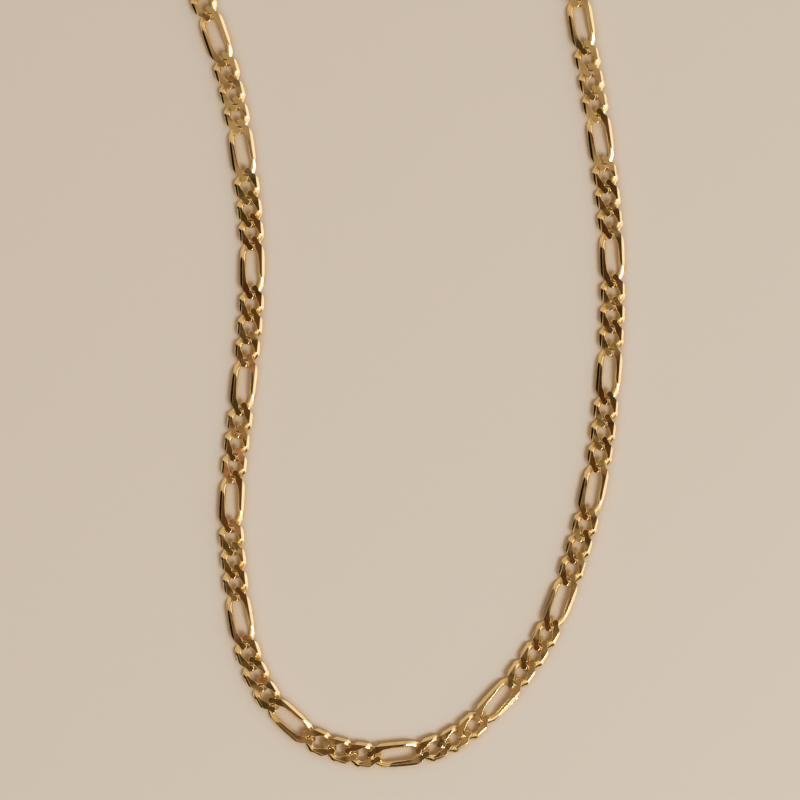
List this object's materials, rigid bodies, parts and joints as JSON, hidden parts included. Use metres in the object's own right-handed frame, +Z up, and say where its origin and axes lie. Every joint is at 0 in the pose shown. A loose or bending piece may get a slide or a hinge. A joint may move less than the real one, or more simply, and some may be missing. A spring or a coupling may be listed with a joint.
{
  "type": "figaro chain necklace",
  "caption": "Closed figaro chain necklace of flat-cut, bevelled oval links, short ones between longer ones, with a plain box clasp, lying flat in a long loop.",
  "frame": {"origin": "middle of the necklace's footprint, on the surface that it lies on", "axes": "+X to the right in the picture, +Y from the front of the necklace towards its clasp, +Z up from the surface"},
  "size_m": [0.0792, 0.196, 0.0022],
  "materials": {
    "gold_links": "polished yellow gold, cut flat and bevelled",
    "gold_clasp": "polished yellow gold"
  },
  "bodies": {
    "root": {"chain_left": "gold_links", "chain_right": "gold_links", "box_clasp": "gold_clasp"}
  },
  "joints": []
}
